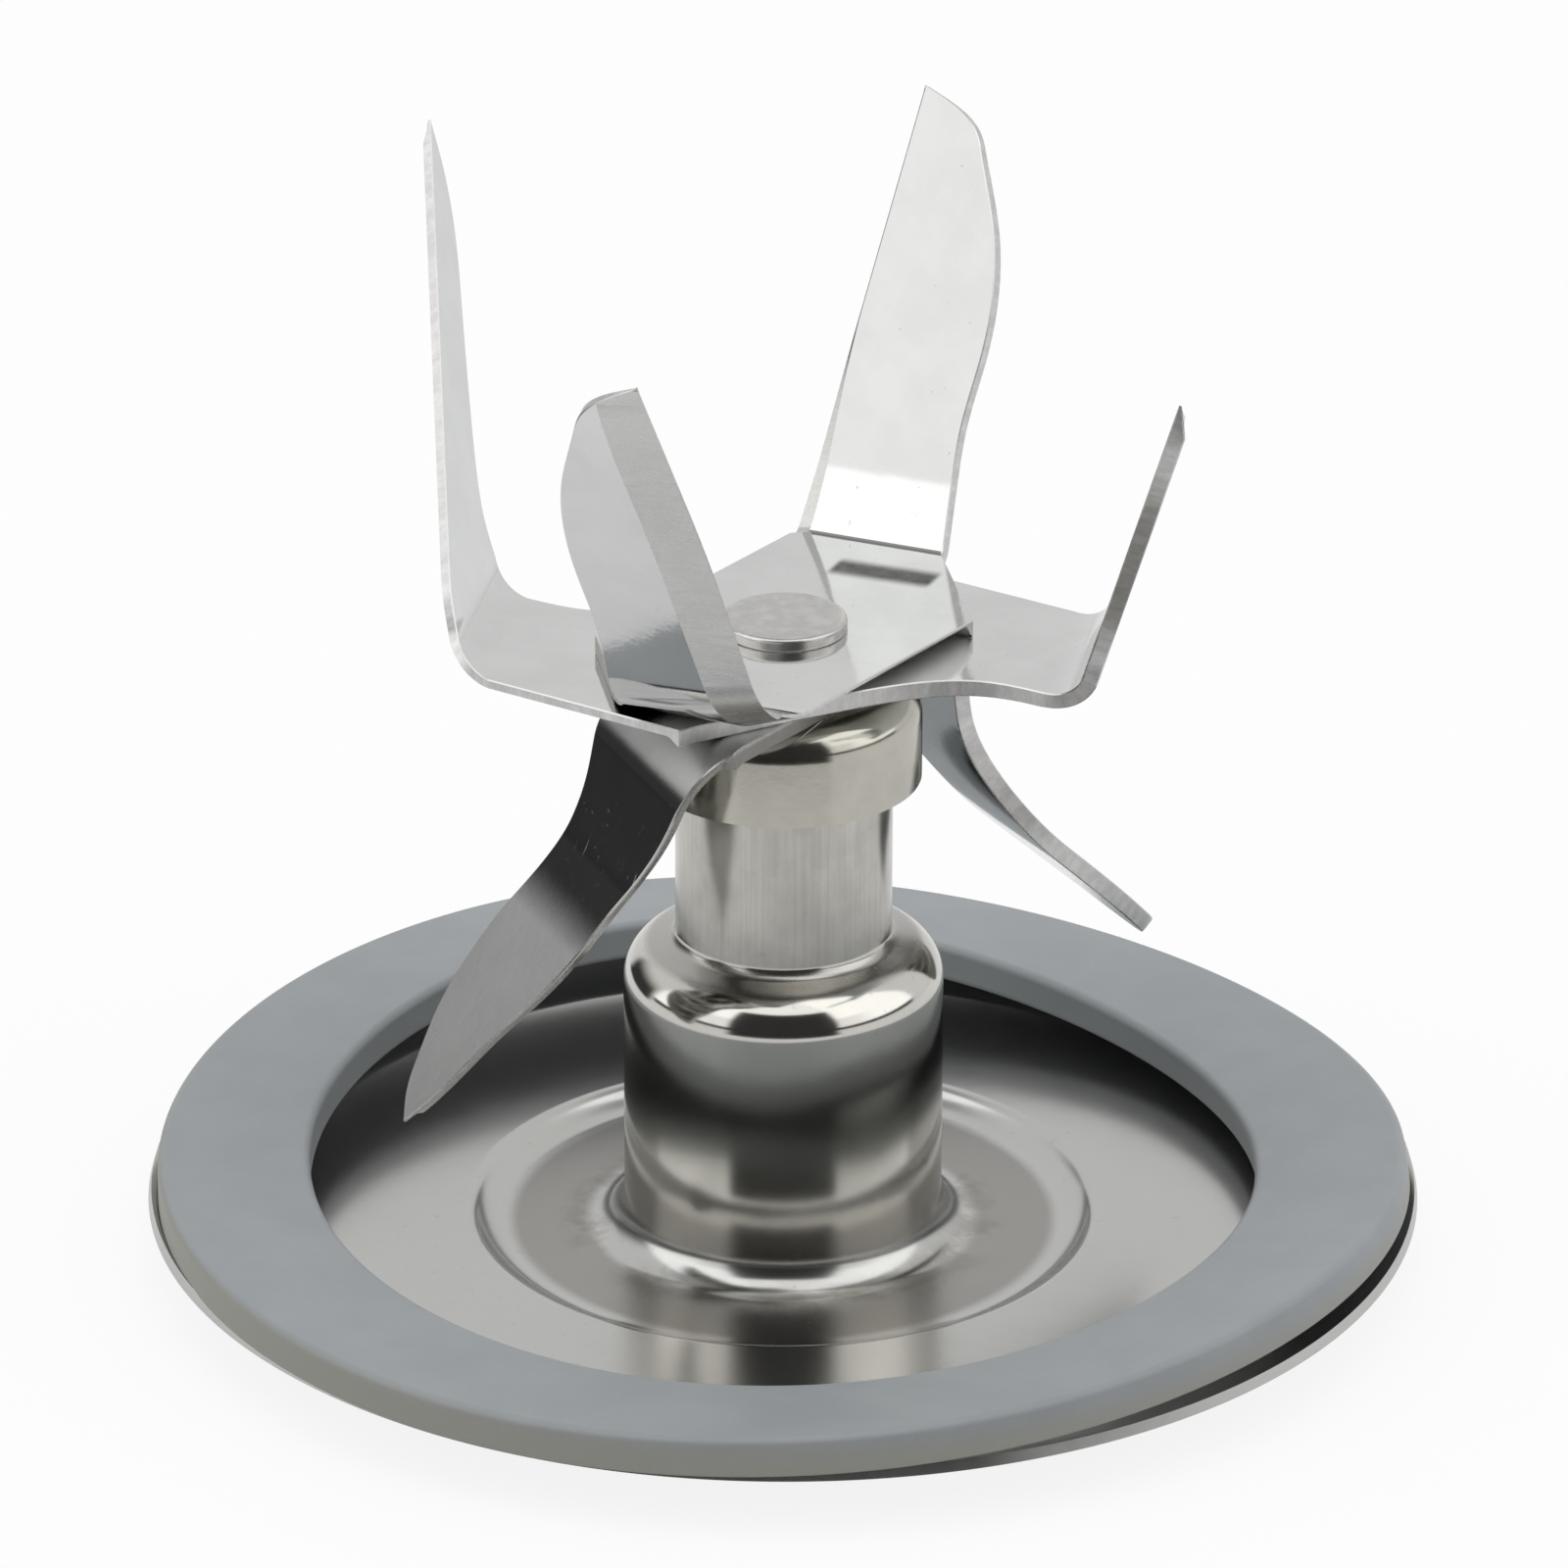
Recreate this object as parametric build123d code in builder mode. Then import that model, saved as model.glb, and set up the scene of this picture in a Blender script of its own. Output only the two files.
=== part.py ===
from build123d import *

import os
from math import cos, radians, sin, tan

# Blender blade assembly, in millimetres: three formed blades riveted to a shaft that runs in a deep drawn
# base plate. +Z is the spin axis and points up, the origin is under the middle of the base plate, on the
# surface that the plate rests on, and -Y is the front. The blades turn anticlockwise seen from above.

# Base plate, drawn from one sheet. Radii and heights are of its upper, outer skin.
plate_sheet = 0.7
rim_radius = 31.2
flange_foot_radius = 25.6
flange_rise = 1.65
bead_inner_radius = 14.3
bead_outer_radius = 15.7
bead_rise = 0.8
hub_radius = 7.85
neck_radius = 5.3
neck_height = 27.9
shoulder_inner_height = 17.0
shoulder_outer_height = 15.4
neck_foot_round = 1.0
shoulder_round = 3.2
hub_foot_round = 1.6
bead_round = 1.3
flange_round = 2.0

# Sealing ring. It is soft and loose, so it has slid to the front and lies in slow waves round the flange: its
# height tilts, folds and ripples, and its section rolls. Each wave has a size and the azimuth of its crest.
ring_outer_radius = 30.9
ring_inner_radius = 23.4
ring_thickness = 1.9
ring_edge_round = 0.3
ring_slide = 0.4
ring_level = 3.23
ring_tilt, tilt_crest = 0.55, 104.0
ring_fold, fold_crest = 0.61, 129.0
ring_ripple, ripple_crest = 0.22, 97.0
roll_mean = -2.4
roll_swing, swing_crest = 8.6, 120.0
roll_twist, twist_crest = 2.4, 81.0

# Shaft, bushings, seal and thrust washers inside the neck
shaft_radius = 3.0
running_clearance = 0.04
bushing_length = 4.6
seal_clearance = 0.15
washer_outer_radius = 4.5
washer_clearance = 0.15
end_play = 0.1
bushing_chamfer = 0.3

# Slinger cap over the top of the neck
cap_radius = 6.7
cap_sheet = 0.6
cap_height = 4.9
cap_round = 1.6
upper_washer_thickness = 1.1

# Tenon that carries the blades, and its riveted head
tenon_radius = 2.5
tenon_flats = 3.9
head_radius = 3.05
head_height = 0.65
head_round = 0.2
tenon_fit = 0.02

# Drive socket pressed on the lower end of the shaft
socket_radius = 6.5
socket_lift = 1.2
socket_boss_radius = 4.6
socket_body_height = 10.0
socket_press_depth = 4.0
square_across_flats = 7.9
square_depth = 9.0
socket_chamfer = 0.6
lower_washer_thickness = 1.0

# Blades: one sheet thickness, each blade with two arms half a turn apart. Sizes along an arm are taken from
# the corner where its upper face would meet the plate's, and across it towards the way it turns.
blade_sheet = 0.9

upper_azimuth = 247.0
upper_corner = 11.1
upper_slope = 64.0
upper_bend_radius = 0.8
upper_arm_length = 22.8
upper_lead_root = 4.5
upper_lead_tip = 1.5
upper_trail_root = -3.45
upper_belly = -3.85
upper_wing_back = 4.5
upper_wing_side = 8.0
bevel_width = 2.2
edge_land = 0.12

middle_azimuth = 170.4
middle_corner = 14.8
middle_slope = 73.0
middle_bend_radius = 2.0
middle_arm_length = 20.3
middle_sweep = -17.3
middle_lead_foot = 6.6
middle_trail_foot = -3.6
middle_lead_root = 4.3
middle_trail_root = -5.2
middle_nose = (3.2, 11.0)
middle_waist = (10.1, -2.7)
middle_flank = (3.9, -5.3)

lower_azimuth = 203.5
lower_corner = 8.35
lower_drop = 70.0
lower_knee_depth = 8.85
lower_tip_slope = 45.7
lower_tip_depth = 18.8
lower_bend_radius = 2.4
lower_knee_radius = 10.0
lower_lead_root = 9.0
lower_trail_root = -1.2
lower_belly = -1.8
lower_tip_side = 3.8

# Heights worked out from the sizes above
floor_top = plate_sheet
shelf_top = floor_top + bead_rise
rim_top = shelf_top + flange_rise
ring_width = ring_outer_radius - ring_inner_radius
ring_middle = ring_inner_radius + ring_width / 2
neck_bore = neck_radius - plate_sheet
shaft_bore = shaft_radius + running_clearance
upper_bushing_base = neck_height - bushing_length
lower_bushing_base = shoulder_inner_height + neck_foot_round / 2
lower_bushing_top = lower_bushing_base + bushing_length
cap_seat = neck_height + upper_washer_thickness + end_play
cap_top = cap_seat + cap_sheet
cap_rim = cap_top - cap_height
lower_blade_base = cap_top
middle_blade_base = lower_blade_base + blade_sheet
upper_blade_base = middle_blade_base + blade_sheet
stack_top = upper_blade_base + blade_sheet
lower_washer_top = lower_bushing_base
lower_washer_base = lower_washer_top - lower_washer_thickness
socket_top = lower_washer_base - end_play
socket_step = socket_lift + socket_body_height
shaft_base = socket_top - socket_press_depth


def collar_section(outer_radius, bore_radius):
    """The flat ring from which a bushing, a seal or a washer is raised."""
    with BuildSketch() as section:
        Circle(outer_radius)
        Circle(bore_radius, mode=Mode.SUBTRACT)
    return section.sketch


def arm_directions(azimuth):
    """Unit vectors along an arm, and across it towards the way it turns."""
    along = Vector(cos(radians(azimuth)), sin(radians(azimuth)), 0)
    across = Vector(-sin(radians(azimuth)), cos(radians(azimuth)), 0)
    return along, across


def arm_plane(azimuth, corner, height, slope):
    """Plane of a raised arm's upper face: x up the arm from its corner, y across it, z towards the axis."""
    along, _ = arm_directions(azimuth)
    rising = along * cos(radians(slope)) + Vector(0, 0, sin(radians(slope)))
    facing = along * -sin(radians(slope)) + Vector(0, 0, cos(radians(slope)))
    return Plane(origin=along * corner + Vector(0, 0, height), x_dir=rising, z_dir=facing)


def bend_run(slope, radius):
    """Length that a bend takes from each of the two flats, along the faces with this inside radius."""
    return radius * tan(radians(slope / 2))


def tenon_section(clearance):
    """The shaft's tenon: a round with two flats, which stops the blades from slipping."""
    with BuildSketch() as section:
        Circle(tenon_radius + clearance)
        Rectangle(3 * tenon_radius, tenon_flats + 2 * clearance, mode=Mode.INTERSECT)
    return section.sketch


def wave(size, count, crest, azimuth):
    """Height at an azimuth of a wave that runs count times round the ring."""
    return size * cos(radians(count * (azimuth - crest)))


def ring_plane(azimuth):
    """Plane across the sealing ring: x outwards along its section, y up through its thickness."""
    lift = ring_level + wave(ring_tilt, 1, tilt_crest, azimuth)
    lift += wave(ring_fold, 2, fold_crest, azimuth) + wave(ring_ripple, 3, ripple_crest, azimuth)
    roll = roll_mean + wave(roll_swing, 1, swing_crest, azimuth) + wave(roll_twist, 2, twist_crest, azimuth)
    radial, up = Vector(cos(radians(azimuth)), sin(radians(azimuth)), 0), Vector(0, 0, 1)
    outwards = radial * cos(radians(roll)) - up * sin(radians(roll))
    rising = radial * sin(radians(roll)) + up * cos(radians(roll))
    middle = radial * ring_middle + rising * (ring_thickness / 2) + Vector(0, -ring_slide, lift)
    return Plane(origin=middle, x_dir=outwards, z_dir=outwards.cross(rising))


def sheet_section(lead, trail):
    """A blade's cross-section from its underside up, with the leading edge ground to a bevel from below."""
    with BuildSketch() as section:
        with BuildLine():
            Polyline(
                (trail, 0),
                (lead - bevel_width, 0),
                (lead, blade_sheet - edge_land),
                (lead, blade_sheet),
                (trail, blade_sheet),
                close=True,
            )
        make_face()
    return section.sketch


# Base plate: neck, shoulder, hub, floor, stiffening bead, shelf and dished flange in one drawn skin
with BuildPart() as base_plate:
    with BuildSketch(Plane.XZ):
        with BuildLine():
            skin = FilletPolyline(
                (neck_radius, neck_height),
                (neck_radius, shoulder_inner_height),
                (hub_radius, shoulder_outer_height),
                (hub_radius, floor_top),
                (bead_inner_radius, floor_top),
                (bead_outer_radius, shelf_top),
                (flange_foot_radius, shelf_top),
                (rim_radius, rim_top),
                radius=[
                    neck_foot_round,
                    shoulder_round,
                    hub_foot_round,
                    bead_round,
                    bead_round,
                    flange_round,
                ],
            )
            offset(skin, amount=plate_sheet, side=Side.RIGHT)
        make_face()
    revolve(axis=Axis.Z)
base_plate.part.label = "base_plate"
export_step(base_plate.part, "parts/base_plate.step")

# Sealing ring: two lofted halves in slow waves, pressed flush where they meet the flange
with BuildPart() as sealing_ring:
    for start in (0, 180):
        with BuildSketch(*[ring_plane(start + turn) for turn in range(0, 181, 15)]):
            RectangleRounded(ring_width, ring_thickness, ring_edge_round)
        loft()
    add(base_plate.part, mode=Mode.SUBTRACT)
sealing_ring.part.label = "sealing_ring"
export_step(sealing_ring.part, "parts/sealing_ring.step")

# Bushings pressed into the neck, bored for the shaft
with BuildPart() as upper_bushing:
    with BuildSketch(Plane.XY.offset(upper_bushing_base)):
        add(collar_section(neck_bore, shaft_bore))
    extrude(amount=bushing_length)
    bore_edges = upper_bushing.faces().filter_by(GeomType.CYLINDER).sort_by(SortBy.RADIUS)[0].edges()
    chamfer(bore_edges.filter_by(GeomType.CIRCLE), bushing_chamfer)
upper_bushing.part.label = "upper_bushing"
export_step(upper_bushing.part, "parts/upper_bushing.step")

with BuildPart() as lower_bushing:
    with BuildSketch(Plane.XY.offset(lower_bushing_base)):
        add(collar_section(neck_bore, shaft_bore))
    extrude(amount=bushing_length)
    bore_edges = lower_bushing.faces().filter_by(GeomType.CYLINDER).sort_by(SortBy.RADIUS)[0].edges()
    chamfer(bore_edges.filter_by(GeomType.CIRCLE), bushing_chamfer)
lower_bushing.part.label = "lower_bushing"
export_step(lower_bushing.part, "parts/lower_bushing.step")

# Shaft seal: a soft collar that fills the neck between the two bushings
with BuildPart() as shaft_seal:
    with BuildSketch(Plane.XY.offset(lower_bushing_top)):
        add(collar_section(neck_bore, shaft_radius + seal_clearance))
    extrude(amount=upper_bushing_base - lower_bushing_top)
shaft_seal.part.label = "shaft_seal"
export_step(shaft_seal.part, "parts/shaft_seal.step")

# Thrust washers above the upper bushing and below the lower one
with BuildPart() as upper_thrust_washer:
    with BuildSketch(Plane.XY.offset(neck_height)):
        add(collar_section(washer_outer_radius, shaft_radius + washer_clearance))
    extrude(amount=upper_washer_thickness)
upper_thrust_washer.part.label = "upper_thrust_washer"
export_step(upper_thrust_washer.part, "parts/upper_thrust_washer.step")

with BuildPart() as lower_thrust_washer:
    with BuildSketch(Plane.XY.offset(lower_washer_base)):
        add(collar_section(washer_outer_radius, shaft_radius + washer_clearance))
    extrude(amount=lower_washer_thickness)
lower_thrust_washer.part.label = "lower_thrust_washer"
export_step(lower_thrust_washer.part, "parts/lower_thrust_washer.step")

# Shaft: journal, tenon through cap and blades, and a head spread over the upper blade
with BuildPart() as drive_shaft:
    with BuildSketch(Plane.XY.offset(shaft_base)):
        Circle(shaft_radius)
    extrude(amount=cap_seat - shaft_base)
    with BuildSketch(Plane.XY.offset(cap_seat)):
        add(tenon_section(0))
    extrude(amount=stack_top - cap_seat)
    with BuildSketch(Plane.XY.offset(stack_top)):
        Circle(head_radius)
    extrude(amount=head_height)
    fillet(drive_shaft.faces().sort_by(Axis.Z)[-1].edges(), radius=head_round)
drive_shaft.part.label = "drive_shaft"
export_step(drive_shaft.part, "parts/drive_shaft.step")

# Drive socket: a stepped collar with a square hole for the motor's drive pin
with BuildPart() as drive_socket:
    with BuildSketch(Plane.XY.offset(socket_lift)):
        Circle(socket_radius)
    extrude(amount=socket_body_height)
    chamfer(drive_socket.edges(), socket_chamfer)
    with BuildSketch(Plane.XY.offset(socket_step)):
        Circle(socket_boss_radius)
    extrude(amount=socket_top - socket_step)
    with BuildSketch(Plane.XY.offset(socket_lift)):
        Rectangle(square_across_flats, square_across_flats)
    extrude(amount=square_depth, mode=Mode.SUBTRACT)
    with BuildSketch(Plane.XY.offset(shaft_base)):
        Circle(shaft_radius)
    extrude(amount=socket_top - shaft_base, mode=Mode.SUBTRACT)
drive_socket.part.label = "drive_socket"
export_step(drive_socket.part, "parts/drive_socket.step")

# Slinger cap: a drawn cup that turns with the shaft and throws liquid clear of the neck
with BuildPart() as slinger_cap:
    with BuildSketch(Plane.XY.offset(cap_rim)):
        Circle(cap_radius)
    extrude(amount=cap_height)
    fillet(slinger_cap.faces().sort_by(Axis.Z)[-1].edges(), radius=cap_round)
    offset(amount=-cap_sheet, openings=slinger_cap.faces().sort_by(Axis.Z)[0])
    with BuildSketch(Plane.XY.offset(cap_seat)):
        add(tenon_section(tenon_fit))
    extrude(amount=cap_sheet, mode=Mode.SUBTRACT)
slinger_cap.part.label = "slinger_cap"
export_step(slinger_cap.part, "parts/slinger_cap.step")

# One arm of the upper blade: it stands up steeply, with a straight cutting edge ground on its outer face
upper_bend = bend_run(upper_slope, upper_bend_radius)
upper_foot = upper_corner - upper_bend
with BuildPart() as upper_arm:
    with BuildSketch(arm_plane(upper_azimuth, upper_corner, stack_top, upper_slope)) as upper_outline:
        with BuildLine():
            upper_tip = (upper_arm_length, upper_lead_tip)
            Line((upper_bend, upper_lead_root), upper_tip)
            Spline(
                upper_tip,
                (0.94 * upper_arm_length, 0.25 * upper_belly),
                (0.81 * upper_arm_length, 0.72 * upper_belly),
                (0.55 * upper_arm_length, upper_belly),
                (0.22 * upper_arm_length, 0.94 * upper_trail_root),
                (upper_bend, upper_trail_root),
            )
            Line((upper_bend, upper_trail_root), (upper_bend, upper_lead_root))
        make_face()
    extrude(amount=-blade_sheet)
    outer_face = upper_arm.faces().sort_by(SortBy.AREA)[-2:].sort_by(Axis.Z)[0]
    cutting_edge = outer_face.edges().filter_by(GeomType.LINE).sort_by(SortBy.LENGTH)[-1]
    chamfer(cutting_edge, length=bevel_width, length2=blade_sheet - edge_land, reference=outer_face)
    upper_along, upper_across = arm_directions(upper_azimuth)
    upper_start = upper_along * upper_foot + Vector(0, 0, upper_blade_base)
    upper_hinge = upper_start + Vector(0, 0, blade_sheet + upper_bend_radius)
    with BuildSketch(Plane(origin=upper_start, x_dir=upper_across, z_dir=upper_along)):
        add(sheet_section(upper_lead_root, upper_trail_root))
    revolve(axis=Axis(upper_hinge, -upper_across), revolution_arc=upper_slope)

# Upper blade: a winged plate between the two arms
with BuildPart() as upper_blade:
    with BuildSketch(Plane.XY.offset(upper_blade_base).rotated((0, 0, upper_azimuth))):
        with BuildLine():
            Polyline(
                (upper_foot, upper_lead_root),
                (-upper_wing_back, upper_wing_side),
                (-upper_foot, -upper_trail_root),
                (-upper_foot, -upper_lead_root),
                (upper_wing_back, -upper_wing_side),
                (upper_foot, upper_trail_root),
                close=True,
            )
        make_face()
    extrude(amount=blade_sheet)
    plate_under = upper_blade.faces().sort_by(Axis.Z)[0]
    lead_edges = plate_under.edges().sort_by(SortBy.LENGTH)[-2:]
    chamfer(lead_edges, length=bevel_width, length2=blade_sheet - edge_land, reference=plate_under)
    add(upper_arm.part)
    add(upper_arm.part, rotation=(0, 0, 180))
    with BuildSketch(Plane.XY.offset(upper_blade_base)):
        add(tenon_section(tenon_fit))
    extrude(amount=blade_sheet, mode=Mode.SUBTRACT)
upper_blade.part.label = "upper_blade"
export_step(upper_blade.part, "parts/upper_blade.step")

# One arm of the middle blade: a wide bend that narrows as it rises, then an arm swept back to its tip
middle_bend = bend_run(middle_slope, middle_bend_radius)
middle_foot = middle_corner - middle_bend
with BuildPart() as middle_arm:
    middle_along, middle_across = arm_directions(middle_azimuth)
    middle_start = middle_along * middle_foot + Vector(0, 0, middle_blade_base)
    middle_hinge = middle_start + Vector(0, 0, blade_sheet + middle_bend_radius)
    with BuildSketch(Plane(origin=middle_start, x_dir=middle_across, z_dir=middle_along)):
        with Locations(((middle_lead_foot + middle_trail_root) / 2, blade_sheet / 2)):
            Rectangle(middle_lead_foot - middle_trail_root, blade_sheet)
    revolve(axis=Axis(middle_hinge, -middle_across), revolution_arc=middle_slope)
    with BuildSketch(arm_plane(middle_azimuth, middle_corner, upper_blade_base, middle_slope / 2)):
        bend_half = middle_bend * cos(radians(middle_slope / 2))
        bend_reach = bend_half + blade_sheet
        with BuildLine():
            Polyline(
                (-bend_reach, middle_lead_foot),
                (-bend_half, middle_lead_foot),
                (bend_half, middle_lead_root),
                (bend_reach, middle_lead_root),
                (bend_reach, middle_trail_root),
                (bend_half, middle_trail_root),
                (-bend_half, middle_trail_foot),
                (-bend_reach, middle_trail_foot),
                close=True,
            )
        make_face()
    extrude(amount=middle_corner, both=True, mode=Mode.INTERSECT)
    with BuildSketch(arm_plane(middle_azimuth, middle_corner, upper_blade_base, middle_slope)):
        with BuildLine():
            middle_tip = (middle_arm_length, middle_sweep)
            middle_shin = (0.23 * middle_arm_length, 0.35 * middle_lead_root)
            Bezier(
                (middle_bend, middle_lead_root),
                (0.16 * middle_arm_length, 0.75 * middle_lead_root),
                middle_shin,
            )
            Line(middle_shin, middle_tip)
            Spline(
                middle_tip,
                (0.81 * middle_arm_length, 0.94 * middle_sweep),
                (0.56 * middle_arm_length, 0.69 * middle_sweep),
                (0.27 * middle_arm_length, 0.38 * middle_sweep),
                (middle_bend, middle_trail_root),
            )
            Line((middle_bend, middle_trail_root), (middle_bend, middle_lead_root))
        make_face()
    extrude(amount=-blade_sheet)
    face_plane = arm_plane(middle_azimuth, middle_corner, upper_blade_base, middle_slope)
    edge_start = face_plane.from_local_coords(Vector(*middle_shin))
    edge_run = face_plane.from_local_coords(Vector(*middle_tip)) - edge_start
    with BuildSketch(Plane(origin=edge_start, x_dir=face_plane.z_dir.cross(edge_run), z_dir=edge_run)):
        with BuildLine():
            Polyline(
                (0, -edge_land),
                (-bevel_width, -blade_sheet),
                (bevel_width, -blade_sheet),
                (bevel_width, -edge_land),
                close=True,
            )
        make_face()
    extrude(amount=edge_run.length, mode=Mode.SUBTRACT)

# Middle blade: an S shaped plate, broad at its two noses and narrow at its waists
nose_along, nose_across = middle_nose
waist_along, waist_across = middle_waist
flank_along, flank_across = middle_flank
with BuildPart() as middle_blade:
    with BuildSketch(Plane.XY.offset(middle_blade_base).rotated((0, 0, middle_azimuth))):
        for side in (1, -1):
            with BuildLine():
                nose = (side * nose_along, side * nose_across)
                far_nose = (-side * nose_along, -side * nose_across)
                lead_foot = (side * middle_foot, side * middle_lead_foot)
                trail_foot = (side * middle_foot, side * middle_trail_foot)
                waist = (side * waist_along, side * waist_across)
                flank = (side * flank_along, side * flank_across)
                Polyline(far_nose, nose, lead_foot, trail_foot)
                Spline(trail_foot, waist, flank, far_nose)
            make_face()
    extrude(amount=blade_sheet)
    plate_under = middle_blade.faces().sort_by(Axis.Z)[0]
    lead_edges = plate_under.edges().filter_by(GeomType.LINE).sort_by(SortBy.LENGTH)[-2:]
    chamfer(lead_edges, length=bevel_width, length2=blade_sheet - edge_land, reference=plate_under)
    add(middle_arm.part)
    add(middle_arm.part, rotation=(0, 0, 180))
    with BuildSketch(Plane.XY.offset(middle_blade_base)):
        add(tenon_section(tenon_fit))
    extrude(amount=blade_sheet, mode=Mode.SUBTRACT)
middle_blade.part.label = "middle_blade"
export_step(middle_blade.part, "parts/middle_blade.step")

# One arm of the lower blade: it drops steeply past the cap, eases outwards and runs to a knife point
lower_top = middle_blade_base
lower_foot = lower_corner - bend_run(lower_drop, lower_bend_radius)
knee_reach = lower_corner + lower_knee_depth / tan(radians(lower_drop))
knee_height = lower_top - lower_knee_depth
tip_height = lower_top - lower_tip_depth
tip_reach = knee_reach + (knee_height - tip_height) / tan(radians(lower_tip_slope))
with BuildPart() as lower_arm:
    lower_along, lower_across = arm_directions(lower_azimuth)
    with BuildSketch(Plane(origin=(0, 0, 0), x_dir=lower_along, z_dir=-lower_across)):
        with BuildLine():
            lower_skin = FilletPolyline(
                (lower_foot - blade_sheet, lower_top),
                (lower_corner, lower_top),
                (knee_reach, knee_height),
                (tip_reach, tip_height),
                radius=[lower_bend_radius, lower_knee_radius],
            )
            offset(lower_skin, amount=blade_sheet, side=Side.RIGHT)
        make_face()
    extrude(amount=2 * lower_lead_root, both=True)
    with BuildSketch(Plane(origin=(0, 0, lower_top), x_dir=lower_across, z_dir=lower_along)):
        with BuildLine():
            lower_tip = (lower_tip_side, -lower_tip_depth)
            Line((lower_trail_root, 0), (lower_lead_root, 0))
            Spline(
                (lower_lead_root, 0),
                (0.95 * lower_lead_root, -0.26 * lower_tip_depth),
                (0.70 * lower_lead_root, -0.50 * lower_tip_depth),
                (0.57 * lower_lead_root, -0.79 * lower_tip_depth),
                lower_tip,
            )
            Spline(
                lower_tip,
                (0.30 * lower_tip_side, -0.91 * lower_tip_depth),
                (0.78 * lower_belly, -0.70 * lower_tip_depth),
                (lower_belly, -0.58 * lower_tip_depth),
                (0.3 * lower_trail_root, -0.26 * lower_tip_depth),
                (lower_trail_root, 0),
            )
        make_face()
    extrude(amount=2 * tip_reach, mode=Mode.INTERSECT)

# Lower blade: a slanted plate between the two arms
with BuildPart() as lower_blade:
    with BuildSketch(Plane.XY.offset(lower_blade_base).rotated((0, 0, lower_azimuth))):
        with BuildLine():
            Polyline(
                (lower_foot, lower_lead_root),
                (lower_foot, lower_trail_root),
                (-lower_foot, -lower_lead_root),
                (-lower_foot, -lower_trail_root),
                close=True,
            )
        make_face()
    extrude(amount=blade_sheet)
    add(lower_arm.part)
    add(lower_arm.part, rotation=(0, 0, 180))
    with BuildSketch(Plane.XY.offset(lower_blade_base)):
        add(tenon_section(tenon_fit))
    extrude(amount=blade_sheet, mode=Mode.SUBTRACT)
lower_blade.part.label = "lower_blade"
export_step(lower_blade.part, "parts/lower_blade.step")
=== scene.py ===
# %% [markdown]
# # A blender blade assembly
# The object is a spare part for a kitchen blender: a drawn steel base plate with a hub and a neck, a soft
# grey sealing ring lying on its flange, a cap, and a stack of bent blades under a riveted shaft head. The
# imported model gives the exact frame. Here every visible piece is worked out again as a fine surface,
# because polished steel shows each facet in its reflections. All sizes are in millimetres and become metres
# in the mesh.

# %% Load the frame
import math

import bmesh
import bpy
import numpy as np
from mathutils import Matrix, Vector


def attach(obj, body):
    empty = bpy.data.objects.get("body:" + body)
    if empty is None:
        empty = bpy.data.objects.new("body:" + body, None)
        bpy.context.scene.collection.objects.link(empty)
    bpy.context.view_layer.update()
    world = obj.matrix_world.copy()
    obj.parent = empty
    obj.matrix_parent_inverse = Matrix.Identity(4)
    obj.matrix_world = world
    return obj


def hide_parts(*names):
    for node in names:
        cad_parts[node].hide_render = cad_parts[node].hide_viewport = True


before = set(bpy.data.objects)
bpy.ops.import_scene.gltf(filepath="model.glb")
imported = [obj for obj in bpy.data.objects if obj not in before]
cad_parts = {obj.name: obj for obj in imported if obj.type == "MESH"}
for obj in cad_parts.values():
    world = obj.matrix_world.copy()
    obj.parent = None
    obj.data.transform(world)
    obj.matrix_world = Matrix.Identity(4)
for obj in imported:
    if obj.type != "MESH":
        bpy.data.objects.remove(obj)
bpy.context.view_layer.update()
MM = 0.001
print("nodes in the frame:", ", ".join(sorted(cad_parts)))

# %% [markdown]
# ## The camera
# The photograph fits a camera about forty seven centimetres away with a long lens, looking down by 24
# degrees. Its place was found from the plate's circles and the shaft head. A long lens matters here: with a
# short one the blades would fan out too much.

# %% Camera
CAMERA_PLACE = (0.0, -0.41999, 0.21138)
CAMERA_PITCH = 0.41935
CAMERA_ROLL = 0.00271
CAMERA_LENS, SENSOR_WIDTH = 217.17, 36.0

camera_data = bpy.data.cameras.new("photo_camera")
camera_data.sensor_width = SENSOR_WIDTH
camera_data.lens = CAMERA_LENS
camera = bpy.data.objects.new("photo_camera", camera_data)
bpy.context.scene.collection.objects.link(camera)
camera.matrix_world = (
    Matrix.Translation(CAMERA_PLACE)
    @ Matrix.Rotation(math.pi / 2 - CAMERA_PITCH, 4, "X")
    @ Matrix.Rotation(CAMERA_ROLL, 4, "Z")
)
bpy.context.scene.camera = camera
bpy.context.scene.view_settings.view_transform = "Standard"
print("camera lens", camera_data.lens, "mm")

# %% [markdown]
# ## Formulas in a shader
# A shader is a sum of small nodes. Wiring them by hand hides the formula, so one class wraps a socket and
# lets ordinary operators add the Math nodes. Any other node comes from one method, which takes the node's
# type, its settings and the values or links of its sockets.


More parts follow.
